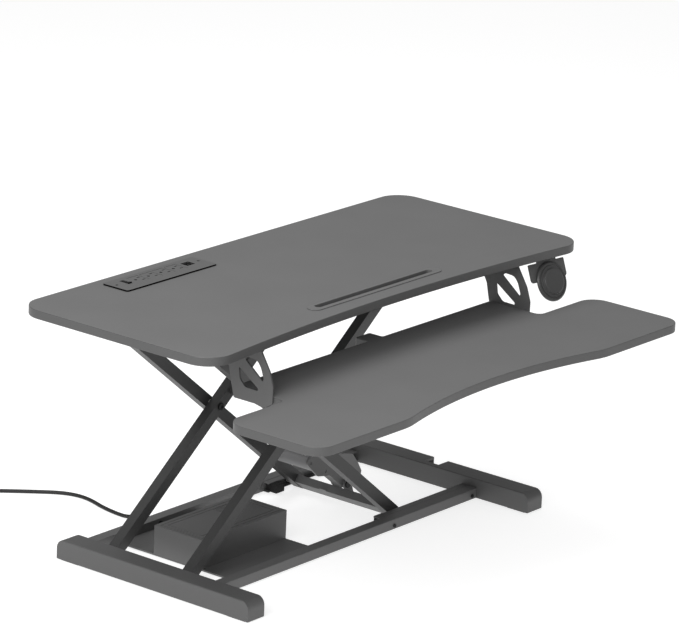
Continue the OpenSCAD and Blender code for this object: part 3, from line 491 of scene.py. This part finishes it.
def add_tie():
    """A cable tie round the coil: a strap that follows its section, and a square head."""
    low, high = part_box("cord_tie")
    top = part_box("cord_coil")[1].z
    half = (high.x - low.x) / 2 - 0.0012
    middle = (low.x + high.x) / 2
    thick = 0.0011
    bm = bmesh.new()
    y_out, y_in = low.y, high.y
    corner = 0.003
    outline = []
    for cy, cz, first in ((y_in - corner, 0.0001 + corner, -90), (y_in - corner, top + thick - corner, 0),
                          (y_out + corner, top + thick - corner, 90), (y_out + corner, 0.0001 + corner, 180)):
        for k in range(7):
            a = math.radians(first + 15 * k)
            outline.append((cy + corner * math.cos(a), cz + corner * math.sin(a), math.cos(a), math.sin(a)))
    rings = []
    for y, z, ny, nz in outline:
        rings.append([
            bm.verts.new((middle + dx, y - ny * d, z - nz * d))
            for dx, d in ((-half, 0), (half, 0), (half, thick), (-half, thick))
        ])
    for k, ring in enumerate(rings):
        other = rings[(k + 1) % len(rings)]
        for i in range(4):
            bm.faces.new((ring[i], ring[(i + 1) % 4], other[(i + 1) % 4], other[i]))
    add_box(bm, (low.x, y_out + 0.006, top + 0.0002), (high.x, y_out + 0.0125, top + 0.0042), 0.0007, 3)
    add_box(bm, (middle - half, y_out + 0.0119, top + 0.0011),
            (middle + half, y_out + 0.0185, top + 0.0022), 0.0003)
    return piece("coil_tie", bm, FINISHES["tie_plastic"], "base", ["cord_tie"])


cord_piece = add_cord()
cord_pieces = [add_gland(), *add_plug(), add_tie()]

# ---------- welds ----------

# A bead's width, its root inside the metal, the height and number of its ripples
BEAD = 0.0021
BEAD_ROOT = 0.0003
RIPPLE = 0.00022
RIPPLES = 22
BEAD_STEPS = 88


def add_bead(bm, at, way, radius):
    """A rippled weld round the end of a cross tube: at is the tube's end, way points along the tube."""
    hollow = [(0.75 * BEAD, 0.5 * BEAD), (0.35 * BEAD, 0.85 * BEAD)]
    section = [(-BEAD_ROOT, 0.0), (BEAD, 0.0), *hollow, (-BEAD_ROOT, BEAD)]
    rings = []
    for k in range(BEAD_STEPS):
        angle = 2 * math.pi * k / BEAD_STEPS
        swell = RIPPLE * math.sin(RIPPLES * angle)
        rings.append([
            bm.verts.new((at.x + (radius + out + swell) * math.cos(angle), at.y + way * (up + swell),
                          at.z + (radius + out + swell) * math.sin(angle)))
            for out, up in section
        ])
    for k, ring in enumerate(rings):
        other = rings[(k + 1) % BEAD_STEPS]
        for i in range(len(section)):
            j = (i + 1) % len(section)
            bm.faces.new((ring[i], ring[j], other[j], other[i]))


def add_welds(name, tubes, body):
    """The beads at both ends of the cross tubes of one arm frame."""
    bm = bmesh.new()
    for tube in tubes:
        low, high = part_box(tube)
        middle = (low + high) / 2
        radius = (high.z - low.z) / 2
        add_bead(bm, Vector((middle.x, low.y, middle.z)), 1, radius)
        add_bead(bm, Vector((middle.x, high.y, middle.z)), -1, radius)
    return piece(name, bm, FINISHES["arm_paint"], body)


add_welds("tube_welds_a", ["upper_tube_a", "ram_cross_tube"], "arms_a")
add_welds("tube_welds_b", ["upper_tube_b"], "arms_b")

# ---------- power panel ----------

# Half sizes and offsets are from the middle of an outlet face, the USB module or one of its ports
OUTLETS = 4
OUTLET_PITCH = 0.0302
OUTLET_HALF = (0.0134, 0.0139)
EARTH_X, EARTH_R = -0.0063, 0.00262
BLADE_Y, BLADE_HALF = 0.0062, 0.00102
BLADE_X = (0.00268, 0.00992)
# The shutters sit just below the outlet faces so that their black shows as painted shade in the openings
SHADE_SHUTTER_LOW = 0.0004
SHADE_SHUTTER_DEEP = 0.004
FINE_EDGE = 0.0001
USB_HALF = (0.0094, 0.0079)
USB_RIM = 0.0004
USB_ABOVE_OUTLETS = 0.001
PORT_HALF = (0.0065, 0.0024)
PORT_Y = 0.004
# The screws' places, from the panel's ends and from its front edge
PANEL_SCREW_IN = (0.010, 0.032)


def add_shutters_and_slot_shade():
    """Black safety shutters just below the outlet faces, in every slot and round hole; their black is partly
    painted shade.
    """
    low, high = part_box("outlet_faces")
    middle = low.y + OUTLET_HALF[1]
    top = high.z - SHADE_SHUTTER_LOW
    bottom = top - SHADE_SHUTTER_DEEP
    disc = [(0, -SHADE_SHUTTER_DEEP), (EARTH_R, -SHADE_SHUTTER_DEEP), (EARTH_R, 0), (0, 0)]
    bm = bmesh.new()
    for k in range(OUTLETS):
        x = low.x + OUTLET_HALF[0] + k * OUTLET_PITCH
        add_lathe(bm, disc, (x + EARTH_X, middle, top), (0, 0, 1), 32)
        for y in (middle - BLADE_Y, middle + BLADE_Y):
            add_box(bm, (x + BLADE_X[0], y - BLADE_HALF, bottom),
                    (x + BLADE_X[1], y + BLADE_HALF, top), FINE_EDGE)
    return piece("outlet_shutters_and_slot_shade", bm, BLACK_AND_PAINTED_SHADE, "worktop")


def add_usb_module():
    """A black frame round the two USB ports, with a floor and a tongue in each port."""
    low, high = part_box("outlet_faces")
    x = high.x - USB_HALF[0]
    y = low.y + OUTLET_HALF[1] + USB_ABOVE_OUTLETS
    face, rim = high.z, high.z + USB_RIM
    bm = bmesh.new()
    for x0, x1 in ((-USB_HALF[0], -PORT_HALF[0]), (PORT_HALF[0], USB_HALF[0])):
        add_box(bm, (x + x0, y - USB_HALF[1], face), (x + x1, y + USB_HALF[1], rim), FINE_EDGE)
    edges = [-USB_HALF[1], -PORT_Y - PORT_HALF[1], PORT_HALF[1] - PORT_Y,
             PORT_Y - PORT_HALF[1], PORT_Y + PORT_HALF[1], USB_HALF[1]]
    for y0, y1 in zip(edges[::2], edges[1::2]):
        add_box(bm, (x - PORT_HALF[0], y + y0, face), (x + PORT_HALF[0], y + y1, rim), FINE_EDGE)
    for port in (y - PORT_Y, y + PORT_Y):
        add_box(bm, (x - PORT_HALF[0], port - PORT_HALF[1], face - 0.009),
                (x + PORT_HALF[0], port + PORT_HALF[1], face - 0.003), FINE_EDGE)
        add_box(bm, (x - 0.0055, port - 0.0001, face - 0.0032),
                (x + 0.0055, port + 0.0016, face - 0.0006), FINE_EDGE)
    return piece("usb_module", bm, BLACK_AND_PAINTED_SHADE, "worktop")


def add_panel_screws():
    """The two countersunk screws that hold the panel, and a black cross on each head as painted shade in its
    recess.
    """
    low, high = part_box("power_panel")
    y = low.y + PANEL_SCREW_IN[1]
    places = (low.x + PANEL_SCREW_IN[0], high.x - PANEL_SCREW_IN[0])
    head = [(0, 0), (0.00255, 0), (0.00255, 0.0006), (0.0022, 0.0009), (0, 0.00095)]
    bm = bmesh.new()
    for x in places:
        add_lathe(bm, head, (x, y, high.z - 0.00098), (0, 0, 1), 32)
    piece("panel_screws", bm, FINISHES["black_screw"], "worktop")
    # Painted shade: a flat black cross on each head stands for the shade in its cross recess
    bm = bmesh.new()
    for x in places:
        for half_x, half_y in ((0.0013, 0.00028), (0.00028, 0.0013)):
            add_box(bm, (x - half_x, y - half_y, high.z - 0.0002),
                    (x + half_x, y + half_y, high.z + 0.00002), 0.00005)
    piece("painted_screw_recess_shade", bm, BLACK_AND_PAINTED_SHADE, "worktop")


add_shutters_and_slot_shade()
add_usb_module()
add_panel_screws()

# ---------- floor and light ----------

FLOOR_GLOW = 0.74
FLOOR_REACH = 40
WORLD_LIGHT = 0.3
# Name, place, aim, size in metres and power in watts of each soft light
LIGHTS = [
    ("key", (-2.6, -0.7, 1.9), (0, 0, 0.25), (2.2, 1.6), 68),
    ("fill", (-0.8, -3.0, 1.2), (0, 0, 0.25), (2.4, 1.2), 9),
    ("top", (0.2, 0.6, 3.2), (0, 0, 0.3), (2.6, 2.0), 56),
]


def add_floor():
    """A pale floor that glows a little, so that it stays near white under soft light."""
    mesh = bpy.data.meshes.new("floor")
    corners = [(x * FLOOR_REACH, y * FLOOR_REACH, 0) for x, y in ((-1, -1), (1, -1), (1, 1), (-1, 1))]
    mesh.from_pydata(corners, [], [(0, 1, 2, 3)])
    material = coated("pale_floor", grey(0.5), 0.01, 60, (0.7, 0.8), 0.00002)
    bsdf = material.node_tree.nodes["Principled BSDF"]
    bsdf.inputs["Emission Color"].default_value = (1, 1, 1, 1)
    bsdf.inputs["Emission Strength"].default_value = FLOOR_GLOW
    mesh.materials.append(material)
    floor = bpy.data.objects.new("floor", mesh)
    scene.collection.objects.link(floor)


def add_area(name, at, aim, size, power):
    data = bpy.data.lights.new(name, "AREA")
    data.shape = "RECTANGLE"
    data.size, data.size_y = size
    data.energy = power
    light = bpy.data.objects.new(name, data)
    scene.collection.objects.link(light)
    direction = Vector(aim) - Vector(at)
    light.matrix_world = Matrix.Translation(at) @ direction.to_track_quat("-Z", "Y").to_matrix().to_4x4()


def add_studio():
    world = bpy.data.worlds.new("studio")
    world.use_nodes = True
    back = world.node_tree.nodes["Background"]
    back.inputs["Color"].default_value = (1, 1, 1, 1)
    back.inputs["Strength"].default_value = WORLD_LIGHT
    scene.world = world
    for light in LIGHTS:
        add_area(*light)
    scene.view_settings.view_transform = "Standard"


add_floor()
add_studio()
